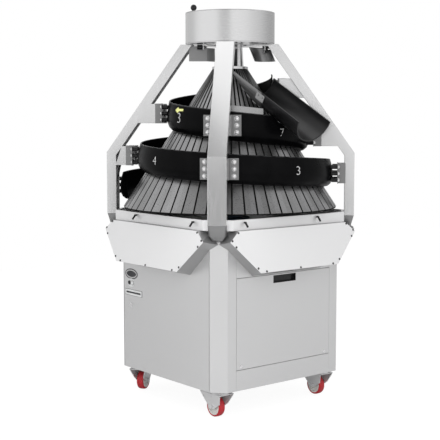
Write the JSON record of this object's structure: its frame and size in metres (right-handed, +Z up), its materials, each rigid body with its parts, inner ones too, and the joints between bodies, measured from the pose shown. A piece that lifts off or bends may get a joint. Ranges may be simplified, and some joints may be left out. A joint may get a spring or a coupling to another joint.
{
  "type": "dough rounder",
  "caption": "Conical dough rounder: ribbed cone inside a climbing spiral track, outlet chute, flour drum on bent legs, skirted cabinet with door, swivel casters.",
  "frame": {"origin": "on the floor under the cone's axis", "axes": "+Z up along the cone's axis; the door and the chute face -Y; the controls are on the -X side"},
  "size_m": [0.934, 0.967, 1.7],
  "materials": {
    "cabinet_grey": "satin pale grey",
    "bright_panel": "satin, nearly white",
    "zinc_steel": "satin",
    "stainless": "brushed",
    "track_black": "matte black",
    "cone_metal": "matt dark grey with narrow grooves",
    "black_plastic": "satin black",
    "housing": "satin",
    "bronze": "machined",
    "gear_steel": "ground",
    "white_plate": "gloss",
    "pale_button": "gloss",
    "lock_metal": "polished",
    "dark_label": "printed film, blank",
    "red_tyre": "red rubber tread on a pale hub"
  },
  "bodies": {
    "frame": {"base_plate": "zinc_steel", "corner_posts": "cabinet_grey", "cabinet_panels": "cabinet_grey", "front_rails": "cabinet_grey", "deck": "cabinet_grey", "corner_gussets": "zinc_steel", "leg_front_left": "cabinet_grey", "leg_front_right": "cabinet_grey", "leg_back_left": "cabinet_grey", "leg_back_right": "cabinet_grey", "skirt_boxes": "cabinet_grey", "skirt_covers": "bright_panel", "cover_screws": "zinc_steel", "rim_catches": "black_plastic", "track_1": "track_black", "track_2": "track_black", "track_3": "track_black", "track_4": "track_black", "track_5": "track_black", "track_brackets": "zinc_steel", "track_bolts": "zinc_steel", "chute": "track_black", "chute_guide": "stainless", "chute_fittings": "zinc_steel", "top_ring": "stainless", "flour_drum": "stainless", "bearing_housing": "housing", "gearbox_housing": "housing", "motor": "housing", "control_plate": "white_plate", "label_plates": "dark_label", "cable_gland": "black_plastic", "caster_plates": "zinc_steel"},
    "cone": {"cone": "cone_metal", "cone_cap": "stainless", "main_shaft": "stainless", "worm_wheel": "bronze"},
    "worm": {"worm_shaft": "gear_steel"},
    "agitator": {"agitator": "stainless"},
    "door": {"door": "cabinet_grey", "door_pull": "black_plastic"},
    "start_button": {"start_button": "pale_button"},
    "stop_button": {"stop_button": "black_plastic"},
    "cam_lock": {"cam_lock": "lock_metal"},
    "drum_lid": {"drum_lid": "stainless", "lid_knob": "black_plastic"},
    "left_deflector": {"left_deflector": "stainless"},
    "right_deflector": {"right_deflector": "stainless"},
    "left_clamp_knob": {"left_clamp_knob": "black_plastic"},
    "right_clamp_knob": {"right_clamp_knob": "black_plastic"},
    "fork_front_left": {"fork_front_left": "zinc_steel"},
    "wheel_front_left": {"wheel_front_left": "red_tyre"},
    "fork_front_right": {"fork_front_right": "zinc_steel"},
    "wheel_front_right": {"wheel_front_right": "red_tyre"},
    "fork_back_left": {"fork_back_left": "zinc_steel"},
    "wheel_back_left": {"wheel_back_left": "red_tyre"},
    "fork_back_right": {"fork_back_right": "zinc_steel"},
    "wheel_back_right": {"wheel_back_right": "red_tyre"},
    "brake_front_right": {"brake_front_right": "black_plastic"},
    "brake_back_left": {"brake_back_left": "black_plastic"}
  },
  "joints": [
    {"name": "cone_spin", "type": "hinge", "parent": "frame", "child": "cone", "pos_m": [0, 0, 0.82], "axis": [0, 0, 1], "continuous": true},
    {"name": "worm_spin", "type": "hinge", "parent": "frame", "child": "worm", "pos_m": [0, 0.09, 0.555], "axis": [1, 0, 0], "continuous": true},
    {"name": "agitator_spin", "type": "hinge", "parent": "frame", "child": "agitator", "pos_m": [0, 0, 1.545], "axis": [0, 0, 1], "continuous": true},
    {"name": "door_hinge", "type": "hinge", "parent": "frame", "child": "door", "pos_m": [0, -0.352, 0.216], "axis": [1, 0, 0], "range_deg": [0, 90]},
    {"name": "start_button_press", "type": "slide", "parent": "frame", "child": "start_button", "axis": [1, 0, 0], "range_m": [0, 0.003], "stiffness_N_per_m": 400, "springref_m": -0.0005},
    {"name": "stop_button_press", "type": "slide", "parent": "frame", "child": "stop_button", "axis": [1, 0, 0], "range_m": [0, 0.003], "stiffness_N_per_m": 400, "springref_m": -0.0005},
    {"name": "cam_lock_turn", "type": "hinge", "parent": "frame", "child": "cam_lock", "pos_m": [-0.36, 0.245, 0.404], "axis": [1, 0, 0], "range_deg": [0, 90]},
    {"name": "drum_lid_hinge", "type": "hinge", "parent": "frame", "child": "drum_lid", "pos_m": [0, 0, 1.6765], "axis": [0.1392, 0.9903, 0], "range_deg": [0, 100]},
    {"name": "left_deflector_tilt", "type": "hinge", "parent": "frame", "child": "left_deflector", "pos_m": [-0.10022, 0.06057, 1.527], "axis": [-0.7771, 0.6293, 0], "range_deg": [-10, 10]},
    {"name": "left_clamp_turn", "type": "hinge", "parent": "frame", "child": "left_clamp_knob", "pos_m": [-0.1111, 0.06938, 1.527], "axis": [-0.7771, 0.6293, 0], "range_deg": [0, 180]},
    {"name": "right_deflector_tilt", "type": "hinge", "parent": "frame", "child": "right_deflector", "pos_m": [0.11502, -0.09314, 1.527], "axis": [0.7771, -0.6293, 0], "range_deg": [-10, 10]},
    {"name": "right_clamp_turn", "type": "hinge", "parent": "frame", "child": "right_clamp_knob", "pos_m": [0.1461, -0.11831, 1.527], "axis": [0.7771, -0.6293, 0], "range_deg": [0, 180]},
    {"name": "swivel_front_left", "type": "hinge", "parent": "frame", "child": "fork_front_left", "pos_m": [-0.285, -0.285, 0.1], "axis": [0, 0, 1], "continuous": true},
    {"name": "roll_front_left", "type": "hinge", "parent": "fork_front_left", "child": "wheel_front_left", "pos_m": [-0.285, -0.255, 0.043], "axis": [-1, 0, 0], "continuous": true},
    {"name": "swivel_front_right", "type": "hinge", "parent": "frame", "child": "fork_front_right", "pos_m": [0.285, -0.285, 0.1], "axis": [0, 0, 1], "continuous": true},
    {"name": "roll_front_right", "type": "hinge", "parent": "fork_front_right", "child": "wheel_front_right", "pos_m": [0.28605, -0.25502, 0.043], "axis": [-0.9994, 0.0349, 0], "continuous": true},
    {"name": "swivel_back_left", "type": "hinge", "parent": "frame", "child": "fork_back_left", "pos_m": [-0.285, 0.285, 0.1], "axis": [0, 0, 1], "continuous": true},
    {"name": "roll_back_left", "type": "hinge", "parent": "fork_back_left", "child": "wheel_back_left", "pos_m": [-0.25956, 0.3009, 0.043], "axis": [-0.5299, 0.848, 0], "continuous": true},
    {"name": "swivel_back_right", "type": "hinge", "parent": "frame", "child": "fork_back_right", "pos_m": [0.285, 0.285, 0.1], "axis": [0, 0, 1], "continuous": true},
    {"name": "roll_back_right", "type": "hinge", "parent": "fork_back_right", "child": "wheel_back_right", "pos_m": [0.29908, 0.31149, 0.043], "axis": [-0.8829, 0.4695, 0], "continuous": true},
    {"name": "brake_pedal_front_right", "type": "hinge", "parent": "fork_front_right", "child": "brake_front_right", "pos_m": [0.28758, -0.21105, 0.084], "axis": [-0.9994, 0.0349, 0], "range_deg": [0, 15]},
    {"name": "brake_pedal_back_left", "type": "hinge", "parent": "fork_back_left", "child": "brake_back_left", "pos_m": [-0.22224, 0.32421, 0.084], "axis": [-0.5299, 0.848, 0], "range_deg": [0, 15]}
  ],
  "couplings": [
    {"joint": "worm_spin", "follows": "cone_spin", "ratio": 30},
    {"joint": "agitator_spin", "follows": "cone_spin", "ratio": 1}
  ]
}
